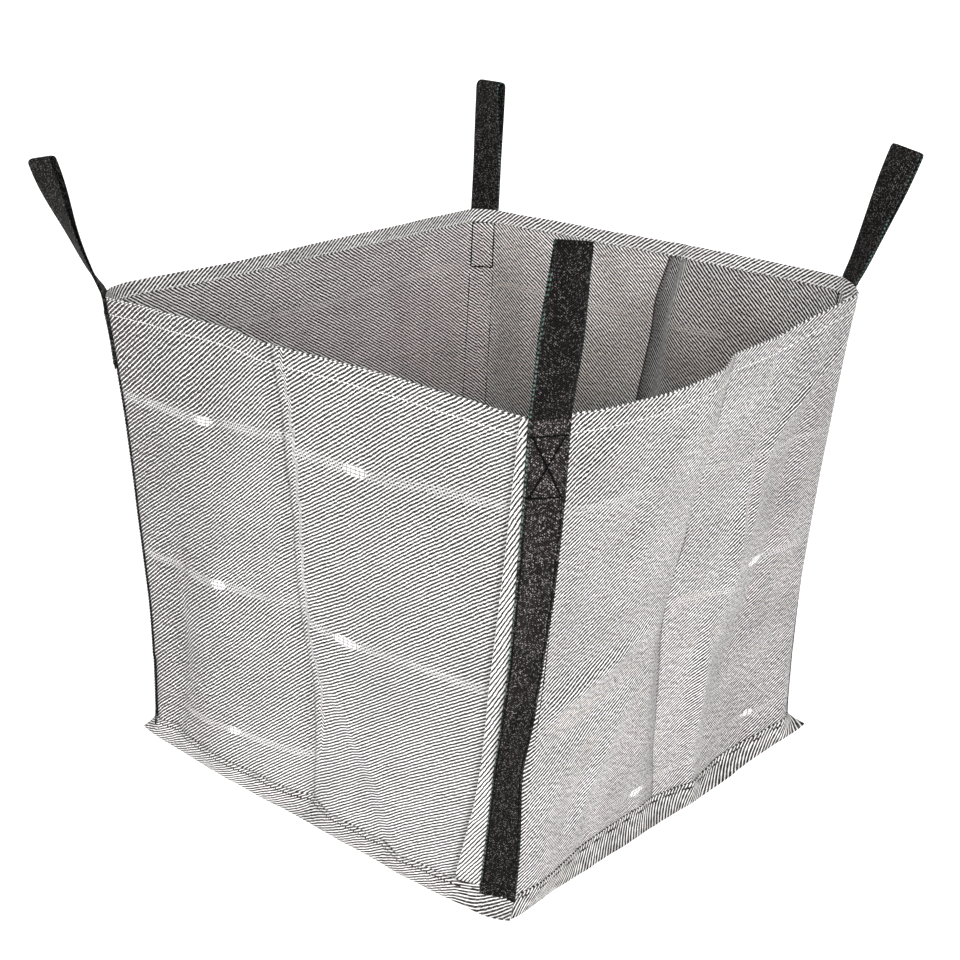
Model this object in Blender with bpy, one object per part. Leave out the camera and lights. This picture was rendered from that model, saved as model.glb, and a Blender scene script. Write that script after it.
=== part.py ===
"""Open-topped woven bulk bag, standing empty, with four webbing lift loops.

Metres, +Z up. The origin is at the centre of the base, on the floor.
-Y is the front, +X the right, +Y the back and -X the left.

Every side piece is modelled facing -Y and every corner piece at the
front right corner. Quarter turns about Z place the copies.
"""

import math

import bmesh
import bpy
from mathutils import Matrix, Vector

# Bag body: half the distance between opposite walls, outside faces.
RIM_HALF = 0.435
BASE_HALF = 0.365
RIM_HEIGHT = 0.765

# A stiff strap flattens each corner over this width, at 45 degrees.
RIM_FLAT = 0.080
BASE_FLAT = 0.060

FABRIC = 0.0012
GAP = 0.0003
HEM_DEPTH = 0.027
HEM_STITCH_DROP = 0.024

# The base seam allowance stands out all round the foot of the walls.
SEAM_HEIGHT = 0.024
FLANGE_REACH = 0.019
FLANGE_THICKNESS = 0.0024

# Webbing: one strap per corner, sewn on at the flat's right edge.
STRAP_WIDTH = 0.050
STRAP_INSET = 0.002
STRAP_THICKNESS = 0.0022
STRAP_FOOT = 0.027
UNDER_PLY_LENGTH = 0.112

# Lift loops: two plies that part and turn over at the top.
LOOP_LENGTH = 0.240
LOOP_HALF_GAP = 0.0130
LOOP_LEG_ROWS = 10
LOOP_TURN_ROWS = 12
HINGE_ABOVE_RIM = 0.0062
HINGE_CLEARANCE = 0.0006
INNER_ROOT_DROP = 0.0030
OUTER_ROOT_DROP = 0.0053
LOOP_LEANS = {
    "front_right": 20.0,
    "back_right": 16.0,
    "back_left": -5.0,
    "front_left": 20.0,
}

# Sewing thread.
THREAD_WIDTH = 0.0014
THREAD_HEIGHT = 0.0007
EDGE_STITCH_INSET = 0.004
BOX_TOP_DROP = 0.022
BOX_HEIGHT = 0.082
BOX_WIDTH = 0.042

SIDES = {"front": 0.0, "right": 90.0, "back": 180.0, "left": 270.0}
CORNERS = {"front_right": 0.0, "back_right": 90.0, "back_left": 180.0, "front_left": 270.0}


def clear_scene():
    """Remove whatever objects the scene starts with."""
    for scene_object in list(bpy.data.objects):
        bpy.data.objects.remove(scene_object, do_unlink=True)


def make_material(name, colour, roughness):
    """A plain Principled material."""
    material = bpy.data.materials.new(name)
    material.use_nodes = True
    shader = material.node_tree.nodes["Principled BSDF"]
    shader.inputs["Base Color"].default_value = (*colour, 1.0)
    shader.inputs["Roughness"].default_value = roughness
    shader.inputs["Metallic"].default_value = 0.0
    return material


def add_object(name, mesh, turn_degrees, location=(0.0, 0.0, 0.0), tilt_degrees=0.0):
    """Place a mesh, tilted outward about its own X axis and turned about Z."""
    piece = bpy.data.objects.new(name, mesh)
    piece.location = location
    piece.rotation_euler = (math.radians(tilt_degrees), 0.0, math.radians(turn_degrees))
    bpy.context.scene.collection.objects.link(piece)
    return piece


def sheet_mesh(name, outer, inner, material):
    """A closed sheet between two equal grids of points."""
    rows = len(outer)
    columns = len(outer[0])
    bm = bmesh.new()
    front = [[bm.verts.new(point) for point in row] for row in outer]
    rear = [[bm.verts.new(point) for point in row] for row in inner]
    for row in range(rows - 1):
        for col in range(columns - 1):
            bm.faces.new((front[row][col], front[row][col + 1],
                          front[row + 1][col + 1], front[row + 1][col]))
            bm.faces.new((rear[row][col], rear[row + 1][col],
                          rear[row + 1][col + 1], rear[row][col + 1]))
    for col in range(columns - 1):
        bm.faces.new((front[0][col], rear[0][col], rear[0][col + 1], front[0][col + 1]))
        bm.faces.new((front[-1][col], front[-1][col + 1], rear[-1][col + 1], rear[-1][col]))
    for row in range(rows - 1):
        bm.faces.new((front[row][0], front[row + 1][0], rear[row + 1][0], rear[row][0]))
        bm.faces.new((front[row][-1], rear[row][-1], rear[row + 1][-1], front[row + 1][-1]))
    return finish_mesh(name, bm, material)


def finish_mesh(name, bm, material):
    """Triangulate, point the faces outward and hand back a mesh."""
    bmesh.ops.triangulate(bm, faces=bm.faces[:])
    bmesh.ops.recalc_face_normals(bm, faces=bm.faces[:])
    mesh = bpy.data.meshes.new(name)
    bm.to_mesh(mesh)
    bm.free()
    mesh.materials.append(material)
    return mesh


def wall_half(height):
    """Half the distance between opposite walls at a height."""
    return BASE_HALF + (RIM_HALF - BASE_HALF) * height / RIM_HEIGHT


def corner_ends(height):
    """Left and right ends of the front right corner's flat at a height."""
    half = wall_half(height)
    flat = BASE_FLAT + (RIM_FLAT - BASE_FLAT) * height / RIM_HEIGHT
    setback = flat / math.sqrt(2.0)
    left = Vector((half - setback, -half, 0.0))
    right = Vector((half, -half + setback, 0.0))
    return left, right


def outline(height, inset):
    """The bag's eight-cornered outline at a height, moved inward by inset.

    Points run round from the front left corner's right end, so the front
    wall is the first edge and the front right corner's flat the second.
    """
    ring = []
    for quarter in range(4):
        turn = Matrix.Rotation(math.radians(90.0 * (quarter - 1)), 3, "Z")
        ring.append(turn @ corner_ends(height)[1])
        next_turn = Matrix.Rotation(math.radians(90.0 * quarter), 3, "Z")
        ring.append(next_turn @ corner_ends(height)[0])
    moved = []
    for index, point in enumerate(ring):
        before = inward_normal(ring[index - 1], point)
        after = inward_normal(point, ring[(index + 1) % len(ring)])
        shift = (before + after) * (inset / (1.0 + before.dot(after)))
        moved.append(point + shift + Vector((0.0, 0.0, height)))
    return moved


def inward_normal(start, end):
    """Level unit normal of an edge, pointing into the bag."""
    along = (end - start).normalized()
    return Vector((-along.y, along.x, 0.0))


def shrink(points, start_gap, end_gap):
    """Draw in the first and the last point of a row."""
    row = [point.copy() for point in points]
    row[0] += (points[1] - points[0]).normalized() * start_gap
    row[-1] += (points[-2] - points[-1]).normalized() * end_gap
    return row


def wall_rows(first, last, heights, inset):
    """Rows of outline points from the first to the last index."""
    return [shrink(outline(height, inset)[first:last + 1], GAP, GAP) for height in heights]


def flat_point(height, across, outward):
    """A point on the front right corner's flat.

    across is measured from the flat's right edge, outward from the fabric.
    """
    left, right = corner_ends(height)
    along = (left - right).normalized()
    normal = Vector((-along.y, along.x, 0.0))
    return right + along * across + normal * outward + Vector((0.0, 0.0, height))


def band_on_corner(name, material, span, heights, outward, thickness):
    """A band that lies on the front right corner's flat."""
    start, end = span
    outer = [[flat_point(h, s, outward + thickness) for s in (end, start)] for h in heights]
    inner = [[flat_point(h, s, outward) for s in (end, start)] for h in heights]
    return sheet_mesh(name, outer, inner, material)


def make_walls(fabric):
    """Four flat side walls."""
    heights = (0.0, RIM_HEIGHT)
    mesh = sheet_mesh("side_wall", wall_rows(0, 1, heights, 0.0),
                      wall_rows(0, 1, heights, FABRIC), fabric)
    for side, turn in SIDES.items():
        add_object(side + "_panel", mesh, turn)


def make_corner_strips(fabric):
    """The flat strip of fabric at each corner."""
    heights = (0.0, RIM_HEIGHT)
    mesh = sheet_mesh("corner_strip", wall_rows(1, 2, heights, 0.0),
                      wall_rows(1, 2, heights, FABRIC), fabric)
    for corner, turn in CORNERS.items():
        add_object(corner + "_corner_strip", mesh, turn)


def make_hems(fabric):
    """The rim's folded edge, inside each wall and the corner to its right."""
    heights = (RIM_HEIGHT - HEM_DEPTH, RIM_HEIGHT)
    inset = FABRIC + GAP
    mesh = sheet_mesh("rim_hem", wall_rows(0, 2, heights, inset),
                      wall_rows(0, 2, heights, inset + FABRIC), fabric)
    for side, turn in SIDES.items():
        add_object(side + "_rim_hem", mesh, turn)


def make_hem_stitches(thread):
    """One line of thread below the rim, from strap to strap."""
    middle = RIM_HEIGHT - HEM_STITCH_DROP
    heights = (middle - THREAD_WIDTH / 2.0, middle + THREAD_WIDTH / 2.0)
    strap_edge = STRAP_INSET + STRAP_WIDTH + GAP
    grids = []
    for outward in (GAP + THREAD_HEIGHT, GAP):
        rows = []
        for height in heights:
            row = outline(height, -outward)[0:2]
            row.append(flat_point(height, strap_edge, outward))
            rows.append(shrink(row, THREAD_WIDTH, 0.0))
        grids.append(rows)
    mesh = sheet_mesh("hem_stitch", grids[0], grids[1], thread)
    for side, turn in SIDES.items():
        add_object(side + "_hem_stitching", mesh, turn)


def make_base(fabric):
    """The sheet of fabric that closes the bag's foot."""
    ring = outline(0.0, FABRIC + GAP)
    low = [ring[0:4], ring[7:3:-1]]
    high = [[point + Vector((0.0, 0.0, FABRIC)) for point in row] for row in low]
    mesh = sheet_mesh("base_panel", high, low, fabric)
    add_object("base_panel", mesh, 0.0)


def make_flanges(fabric):
    """The seam allowance, slanting out and down to the floor."""
    grids = []
    for thickness in (FLANGE_THICKNESS, 0.0):
        foot = outline(0.0, -(FLANGE_REACH + thickness))[0:3]
        seam = outline(SEAM_HEIGHT, -(GAP + thickness))[0:3]
        grids.append([shrink(foot, GAP, GAP), shrink(seam, GAP, GAP)])
    mesh = sheet_mesh("base_flange", grids[0], grids[1], fabric)
    for side, turn in SIDES.items():
        add_object(side + "_base_flange", mesh, turn)


def make_straps(webbing):
    """The strap up each corner and the loop's second end beneath it."""
    strap_span = (STRAP_INSET, STRAP_INSET + STRAP_WIDTH)
    strap = band_on_corner("corner_strap", webbing, strap_span, (STRAP_FOOT, RIM_HEIGHT),
                           STRAP_THICKNESS + 2.0 * GAP, STRAP_THICKNESS)
    ply_heights = (RIM_HEIGHT - UNDER_PLY_LENGTH, RIM_HEIGHT)
    ply = band_on_corner("loop_end", webbing, strap_span, ply_heights, GAP, STRAP_THICKNESS)
    for corner, turn in CORNERS.items():
        add_object(corner + "_corner_strap", strap, turn)
        add_object(corner + "_loop_sewn_end", ply, turn)


def strap_face():
    """How far the strap's outer face stands off the fabric."""
    return 2.0 * (GAP + STRAP_THICKNESS)


def make_edge_stitches(thread):
    """A row of thread down each edge of each strap."""
    low = STRAP_FOOT + EDGE_STITCH_INSET
    high = RIM_HEIGHT - BOX_TOP_DROP - BOX_HEIGHT - EDGE_STITCH_INSET
    left = STRAP_INSET + STRAP_WIDTH - EDGE_STITCH_INSET
    right = STRAP_INSET + EDGE_STITCH_INSET
    for edge, centre in (("left", left), ("right", right)):
        span = (centre - THREAD_WIDTH / 2.0, centre + THREAD_WIDTH / 2.0)
        mesh = band_on_corner("edge_stitch", thread, span, (low, high),
                              strap_face() + GAP, THREAD_HEIGHT)
        for corner, turn in CORNERS.items():
            add_object(corner + "_strap_" + edge + "_stitching", mesh, turn)


def box_and_cross(half_width, half_height, line):
    """Outer corners and the four triangular windows of a crossed box."""
    outer = [Vector((sx * half_width, sy * half_height))
             for sx, sy in ((-1, -1), (1, -1), (1, 1), (-1, 1))]
    inner_width = half_width - line
    inner_height = half_height - line
    diagonal = math.hypot(inner_width, inner_height)
    slip_x = line * diagonal / (2.0 * inner_height)
    slip_y = line * diagonal / (2.0 * inner_width)
    windows = [
        ((-inner_width + slip_x, -inner_height), (inner_width - slip_x, -inner_height), (0.0, -slip_y)),
        ((inner_width, -inner_height + slip_y), (inner_width, inner_height - slip_y), (slip_x, 0.0)),
        ((inner_width - slip_x, inner_height), (-inner_width + slip_x, inner_height), (0.0, slip_y)),
        ((-inner_width, inner_height - slip_y), (-inner_width, -inner_height + slip_y), (-slip_x, 0.0)),
    ]
    return outer, [[Vector(point) for point in window] for window in windows]


def make_box_stitches(thread):
    """The crossed box of thread that holds both ends of each loop."""
    top = RIM_HEIGHT - BOX_TOP_DROP
    middle = top - BOX_HEIGHT / 2.0
    centre = STRAP_INSET + STRAP_WIDTH / 2.0
    outer, windows = box_and_cross(BOX_WIDTH / 2.0, BOX_HEIGHT / 2.0, THREAD_WIDTH)
    bm = bmesh.new()

    def raise_vertex(point):
        return bm.verts.new(flat_point(middle + point.y, centre - point.x, strap_face() + GAP))

    outer_verts = [raise_vertex(point) for point in outer]
    window_verts = [[raise_vertex(point) for point in window] for window in windows]
    for index in range(4):
        start, end, inward = window_verts[index]
        previous = window_verts[index - 1]
        bm.faces.new((outer_verts[index], outer_verts[(index + 1) % 4], end, start))
        bm.faces.new((outer_verts[index], start, inward, previous[2], previous[1]))
    bm.faces.new([window[2] for window in window_verts])
    left, right = corner_ends(middle)
    along = (left - right).normalized()
    lift = Vector((-along.y, along.x, 0.0)) * THREAD_HEIGHT
    extruded = bmesh.ops.extrude_face_region(bm, geom=bm.faces[:], use_keep_orig=True)
    raised = [item for item in extruded["geom"] if isinstance(item, bmesh.types.BMVert)]
    bmesh.ops.translate(bm, verts=raised, vec=lift)
    mesh = finish_mesh("box_stitch", bm, thread)
    for corner, turn in CORNERS.items():
        add_object(corner + "_loop_box_stitching", mesh, turn)


def loop_centreline():
    """The loop ply's middle line as (outward, up), from inner to outer root."""
    root = (STRAP_THICKNESS + GAP) / 2.0
    swell = LOOP_HALF_GAP + STRAP_THICKNESS / 2.0
    turn_height = LOOP_LENGTH - swell - STRAP_THICKNESS / 2.0
    leg = []
    for index in range(LOOP_LEG_ROWS):
        share = index / LOOP_LEG_ROWS
        ease = math.sin(share * math.pi / 2.0) ** 2
        leg.append((root + (swell - root) * ease, turn_height * share))
    turn = []
    for index in range(LOOP_TURN_ROWS + 1):
        angle = math.pi * index / LOOP_TURN_ROWS
        turn.append((-swell * math.cos(angle), turn_height + swell * math.sin(angle)))
    inner_leg = [(-root, -INNER_ROOT_DROP)] + [(-outward, up) for outward, up in leg]
    outer_leg = list(reversed(leg)) + [(root, -OUTER_ROOT_DROP)]
    return inner_leg + turn + outer_leg


def loop_mesh(webbing):
    """One loop, with its hinge line along its own X axis through its origin."""
    middle = -(HINGE_CLEARANCE + STRAP_THICKNESS + GAP / 2.0)
    path = [Vector((0.0, -(outward + middle), up)) for outward, up in loop_centreline()]
    half_width = STRAP_WIDTH / 2.0
    outer = []
    inner = []
    for index, point in enumerate(path):
        before = path[max(index - 1, 0)]
        after = path[min(index + 1, len(path) - 1)]
        along = (after - before).normalized()
        if index in (0, len(path) - 1):
            along = Vector((0.0, 0.0, 1.0 if index == 0 else -1.0))
        normal = Vector((0.0, along.z, -along.y)) * (STRAP_THICKNESS / 2.0)
        sides = [Vector((sign * half_width, 0.0, 0.0)) for sign in (-1.0, 1.0)]
        outer.append([point + normal + side for side in sides])
        inner.append([point - normal + side for side in sides])
    mesh = sheet_mesh("lift_loop", outer, inner, webbing)
    mesh.shade_smooth()
    mesh.set_sharp_from_angle(angle=math.radians(50.0))
    return mesh


def make_loops(webbing):
    """Four loops, each hinged just above the rim on its strap's outer face."""
    mesh = loop_mesh(webbing)
    centre = STRAP_INSET + STRAP_WIDTH / 2.0
    hinge = flat_point(RIM_HEIGHT, centre, strap_face() + HINGE_CLEARANCE)
    hinge += Vector((0.0, 0.0, HINGE_ABOVE_RIM))
    for corner, turn in CORNERS.items():
        location = Matrix.Rotation(math.radians(turn), 3, "Z") @ hinge
        add_object(corner + "_lift_loop", mesh, turn + 45.0, location, LOOP_LEANS[corner])


def main():
    """Build the bag."""
    clear_scene()
    fabric = make_material("woven_polypropylene", (0.62, 0.61, 0.60), 0.55)
    webbing = make_material("black_webbing", (0.030, 0.027, 0.027), 0.75)
    white_thread = make_material("white_thread", (0.80, 0.79, 0.77), 0.60)
    black_thread = make_material("black_thread", (0.012, 0.012, 0.013), 0.65)
    make_walls(fabric)
    make_corner_strips(fabric)
    make_hems(fabric)
    make_hem_stitches(white_thread)
    make_base(fabric)
    make_flanges(fabric)
    make_straps(webbing)
    make_edge_stitches(black_thread)
    make_box_stitches(black_thread)
    make_loops(webbing)


main()
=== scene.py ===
"""Looks of the bulk bag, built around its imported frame. Metres, +Z up, the front faces -Y."""
import math

import bpy
import numpy as np
from mathutils import Matrix, Vector, noise


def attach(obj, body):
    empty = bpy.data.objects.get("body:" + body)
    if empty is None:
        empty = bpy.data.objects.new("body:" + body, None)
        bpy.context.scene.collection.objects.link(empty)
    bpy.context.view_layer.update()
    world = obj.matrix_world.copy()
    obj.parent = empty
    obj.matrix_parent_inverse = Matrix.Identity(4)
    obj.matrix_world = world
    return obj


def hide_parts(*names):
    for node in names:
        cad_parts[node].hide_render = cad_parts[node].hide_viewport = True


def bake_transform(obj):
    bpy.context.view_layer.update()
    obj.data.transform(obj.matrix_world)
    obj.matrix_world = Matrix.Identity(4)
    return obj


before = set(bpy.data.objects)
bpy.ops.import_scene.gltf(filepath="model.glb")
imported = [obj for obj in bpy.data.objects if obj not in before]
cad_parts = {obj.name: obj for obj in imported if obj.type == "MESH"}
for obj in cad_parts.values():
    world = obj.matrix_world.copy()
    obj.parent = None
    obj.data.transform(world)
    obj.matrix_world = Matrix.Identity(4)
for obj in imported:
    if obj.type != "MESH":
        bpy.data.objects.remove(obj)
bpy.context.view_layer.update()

# ---------------------------------------------------------------- design values
CLOTH = 0.0011            # thickness of the woven cloth
SEAM_Z = 0.027            # the walls start at the base seam
HEM = {"front": 0.027, "right": 0.027, "back": 0.0215, "left": 0.0215}   # depth of the hem
HEM_GAP = 0.0024          # from the wall's middle to the folded-in ply's middle
STITCH_MARGIN = 0.0028    # hem stitching above the hem's edge
# stitches: length, width and height; and how far apart they are
HEM_STITCH, HEM_PITCH = (0.0046, 0.0016, 0.0008), 0.0062
EDGE_STITCH, EDGE_PITCH = (0.0048, 0.0017, 0.0009), 0.0058
BOX_STITCH, BOX_PITCH = (0.0056, 0.0030, 0.0014), 0.0052
WEB = 0.0023              # thickness of the webbing
WEB_HALF = 0.0262         # half the webbing's width
ROWS = 132                # the walls' grid, seam to rim
WALL_COLUMNS = 126
STRIP_COLUMNS = 8         # the bare strip between a wall and the next strap
HALF_STRAP_COLUMNS = 5
PER_SIDE = WALL_COLUMNS + STRIP_COLUMNS + 2 * HALF_STRAP_COLUMNS
COLUMNS = 4 * PER_SIDE
UP = np.array([0.0, 0.0, 1.0])

CORNERS = ("front_left", "front_right", "back_right", "back_left")
SIDES = ("front", "right", "back", "left")

# Each corner at rising shares of the wall's height: the middle of its strap (x, y), the strap's
# heading in degrees (anticlockwise walk round the bag), its chord's width, and the bare strip
# before it: width and heading.
POSTS = {
    "front_left": (
        (0.00, -0.393, -0.378, -44, 0.052, 0.026, -78),
        (0.25, -0.3895, -0.379, -44, 0.052, 0.028, -78),
        (0.50, -0.392, -0.3905, -43, 0.052, 0.030, -78),
        (0.78, -0.3975, -0.4055, -42, 0.052, 0.032, -76),
        (1.00, -0.404, -0.4225, -42, 0.052, 0.034, -74),
    ),
    "front_right": (
        (0.00, 0.350, -0.366, 16, 0.052, 0.040, 24),
        (0.24, 0.3725, -0.3735, 24, 0.048, 0.021, 40),
        (0.50, 0.399, -0.381, 33, 0.041, 0.026, 44),
        (0.78, 0.421, -0.3935, 46, 0.049, 0.015, 44),
        (1.00, 0.436, -0.4055, 53, 0.053, 0.006, 30),
    ),
    "back_right": (
        (0.00, 0.352, 0.377, 150, 0.052, 0.034, 116),
        (0.25, 0.350, 0.378, 146, 0.052, 0.038, 118),
        (0.50, 0.352, 0.392, 143, 0.052, 0.045, 122),
        (0.78, 0.357, 0.411, 141, 0.052, 0.052, 125),
        (1.00, 0.363, 0.431, 140, 0.052, 0.058, 128),
    ),
    "back_left": (
        (0.00, -0.377, 0.372, 222, 0.052, 0.040, 200),
        (0.25, -0.376, 0.376, 220, 0.052, 0.045, 196),
        (0.50, -0.379, 0.390, 217, 0.052, 0.052, 192),
        (0.78, -0.385, 0.407, 213, 0.052, 0.058, 186),
        (1.00, -0.392, 0.421, 207, 0.050, 0.062, 181),
    ),
}
RIM_Z = {"front_left": 0.753, "front_right": 0.7590, "back_right": 0.7695, "back_left": 0.7690}

# The seam allowance's outer corners on the floor, at the ends of the four sides.
EARS = {
    "front_left": (-0.4035, -0.4010),
    "front_right": (0.3835, -0.3745),
    "back_right": (0.3995, 0.3845),
    "back_left": (-0.3960, 0.3990),
}
# how far the allowance's edge bulges past a straight line, by share of the side
BELLY = {
    "front": ((0, 0), (0.3, 0.004), (0.6, 0.008), (0.9, 0.013), (0.97, 0.010), (1, 0.004)),
    "right": ((0, 0), (0.08, -0.008), (0.25, -0.009), (0.6, -0.006), (0.9, -0.006), (1, 0)),
}
# share of the strap's width at which the seam allowance turns its corner
TIP_SHARE = {"front_left": 0.5, "front_right": 1.0, "back_right": 0.35, "back_left": 0.5}


# ---------------------------------------------------------------- small helpers
def unit(vectors):
    """Vectors along the last axis brought to length one."""
    return vectors / np.linalg.norm(vectors, axis=-1, keepdims=True)


def run_length(line):
    """Metres along a line at each of its points."""
    return np.concatenate([[0], np.cumsum(np.linalg.norm(np.diff(line, axis=0), axis=-1))])


def toward(degrees):
    """Unit vectors in plan at these headings."""
    turn = np.radians(degrees)
    return np.stack([np.cos(turn), np.sin(turn)], -1)


def ends(side):
    """The corners at which a side starts and ends."""
    number = SIDES.index(side)
    return CORNERS[number], CORNERS[(number + 1) % 4]


def curve(x, knots):
    """A smooth curve through (x, y) knots, flat beyond its ends."""
    xs = np.array([k[0] for k in knots], float)
    ys = np.array([k[1] for k in knots], float)
    x = np.clip(np.asarray(x, float), xs[0], xs[-1])
    slope = np.gradient(ys, xs)
    i = np.clip(np.searchsorted(xs, x, side="right") - 1, 0, len(xs) - 2)
    h = xs[i + 1] - xs[i]
    s = (x - xs[i]) / h
    return (
        (2 * s**3 - 3 * s**2 + 1) * ys[i]
        + (s**3 - 2 * s**2 + s) * h * slope[i]
        + (3 * s**2 - 2 * s**3) * ys[i + 1]
        + (s**3 - s**2) * h * slope[i + 1]
    )


def fold(q, t, path, height, width, sharp=0.0):
    """A fold running along path, (t, q) knots, with height (t, metres) knots."""
    x = np.abs(q - curve(t, path)) / width
    soft = np.exp(-x * x)
    crisp = np.exp(-x * 1.6)
    return curve(t, height) * (soft * (1 - sharp) + crisp * sharp)


def noise_field(points, scale, seed):
    """Smooth noise from -1 to 1 at each point, fixed by its seed."""
    shift = Vector((seed * 7.31, seed * 3.17, seed * 5.77))
    flat = points.reshape(-1, 3)
    out = np.array([noise.noise(Vector(p) * scale + shift) for p in flat])
    return out.reshape(points.shape[:-1])


def smooth_ring(values, sigma):
    """Gaussian smoothing round a closed ring of columns (last but one axis)."""
    reach = int(math.ceil(3 * sigma))
    weights = np.exp(-0.5 * (np.arange(-reach, reach + 1) / sigma) ** 2)
    weights /= weights.sum()
    out = np.zeros_like(values)
    for k, w in zip(range(-reach, reach + 1), weights):
        out += w * np.roll(values, k, axis=-2)
    return out


# ---------------------------------------------------------------- the bag's surface
def post(corner, t):
    """Strip's start, strap's left edge and strap's right edge of a corner at heights t."""
    x, y, heading, chord, strip, turn = (
        curve(t, [(row[0], row[k]) for row in POSTS[corner]]) for k in range(1, 7))
    middle = np.stack([x, y], -1)
    half = toward(heading) * (chord / 2)[..., None]
    left, right = middle - half, middle + half
    return left - toward(turn) * strip[..., None], left, right


# Creases as (share of the height, share of the side) knots.
FRONT_CREASE = ((0, 0.545), (0.24, 0.535), (0.5, 0.503), (0.85, 0.472), (1, 0.452))
BACK_CREASE = ((0, 0.560), (0.6, 0.528), (0.85, 0.512), (1, 0.486))
RIGHT_CREASE = ((0, 0.458), (0.22, 0.424), (0.52, 0.385), (0.68, 0.417), (1, 0.445))
# the right wall between its strap and its strip, as shares of the whole side
RIGHT_WALL_START, RIGHT_WALL_SPAN = 0.029, 0.879


def front_shape(q, t):
    """How far the wall stands outward, metres, at shares q of its width and t of its height."""
    crease = FRONT_CREASE
    out = curve(t, [(0, 0.006), (0.3, 0.012), (0.7, 0.006), (1, -0.006)]) * np.sin(np.pi * q)
    out += fold(q, t, crease, [(0, -0.020), (0.3, -0.012), (0.6, -0.002), (0.8, 0.003), (1, 0.006)],
                0.075, 0.5)
    # the crease itself: a narrow valley with a lip on its left
    out += fold(q, t, crease, [(0, -0.003), (0.4, -0.006), (0.8, -0.007), (1, -0.005)], 0.013, 0.9)
    out += fold(q + 0.030, t, crease, [(0, 0.001), (0.4, 0.003), (0.8, 0.004), (1, 0.003)], 0.026)
    # slack that hangs from the crease to the near corner's foot
    out += fold(q, t, [(0, 0.86), (0.16, 0.76), (0.32, 0.62), (0.45, 0.54)],
                [(0, 0.009), (0.2, 0.012), (0.38, 0.007), (0.48, 0)], 0.040, 0.4)
    out += fold(q, t, [(0, 0.80), (0.16, 0.68), (0.32, 0.57)],
                [(0, -0.005), (0.2, -0.007), (0.36, 0)], 0.035, 0.3)
    out += fold(q, t, [(0, 0.075), (0.3, 0.11), (0.6, 0.10)],
                [(0, -0.009), (0.25, -0.012), (0.5, -0.006), (0.75, -0.002)], 0.040)
    out += fold(q, t, [(0, 0.26), (0.3, 0.22), (0.7, 0.30), (1, 0.28)],
                [(0, 0.005), (0.3, 0.008), (0.7, -0.004), (1, -0.006)], 0.08)
    out += fold(q, t, [(0, 0.80), (0.5, 0.80), (1, 0.74)],
                [(0, 0.003), (0.4, -0.005), (0.7, 0.005), (1, -0.005)], 0.08)
    return out


def right_shape(q, t):
    """The right wall hangs in a deep hollow rim and steps at its crease."""
    rim = curve(q, [(0, 0), (0.145, 0.026), (0.29, 0.040), (0.39, 0.035), (0.46, 0.024),
                    (0.54, 0.018), (0.635, 0.018), (0.75, 0.010), (0.9, 0.003), (1, 0)])
    foot = curve(q, [(0, 0), (0.07, 0.006), (0.17, -0.009), (0.45, -0.012), (0.62, 0.001),
                     (0.74, -0.010), (0.88, -0.008), (1, 0)])
    out = rim * curve(t, [(0, 0), (0.4, 0.12), (0.7, 0.45), (1, 1)])
    out += foot * curve(t, [(0, 1), (0.15, 0.6), (0.5, 0)])
    out += 0.012 * np.sin(np.pi * q) * curve(t, [(0, 0), (0.35, 1), (0.8, 0.3), (1, 0)])
    crease = (curve(t, RIGHT_CREASE) - RIGHT_WALL_START) / RIGHT_WALL_SPAN
    ledge = curve(t, [(0, 0.006), (0.25, 0.014), (0.6, 0.019), (0.85, 0.016), (1, 0.006)])
    near = np.clip((q - crease + 0.065) / 0.065, 0, 1)
    out -= ledge * np.where(q < crease, near**1.4, np.exp(-(q - crease).clip(0) / 0.12))
    out += fold(q, t, [(0.2, 0.56), (0.62, 0.66), (0.78, 0.72), (0.9, 0.99)],
                [(0.1, 0), (0.4, 0.006), (0.75, 0.008), (0.9, 0.002), (1, 0)], 0.048, 0.2)
    out += fold(q, t, [(0.2, 0.66), (0.55, 0.78), (0.8, 0.86), (1, 1.0)],
                [(0.1, 0), (0.4, -0.006), (0.7, -0.006), (0.9, -0.001), (1, 0)], 0.050, 0.2)
    # a puff that runs up from the near corner's pinched strap
    ridge = (t - (0.40 + 0.30 * q)) / 0.030
    out += 0.0075 * np.exp(-ridge**2) * np.exp(-(((q - 0.16) / 0.14) ** 2))
    hollow = (t - (0.31 + 0.30 * q)) / 0.040
    out -= 0.0045 * np.exp(-hollow**2) * np.exp(-(((q - 0.16) / 0.16) ** 2))
    out += fold(q, t, [(0, 0.60), (0.3, 0.57), (0.5, 0.55)],
                [(0, 0.007), (0.25, 0.009), (0.5, 0)], 0.03, 0.3)
    out += fold(q, t, [(0, 0.16), (0.2, 0.22), (0.4, 0.30)],
                [(0, 0.004), (0.2, 0.006), (0.4, 0)], 0.04, 0.2)
    return out


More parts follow.
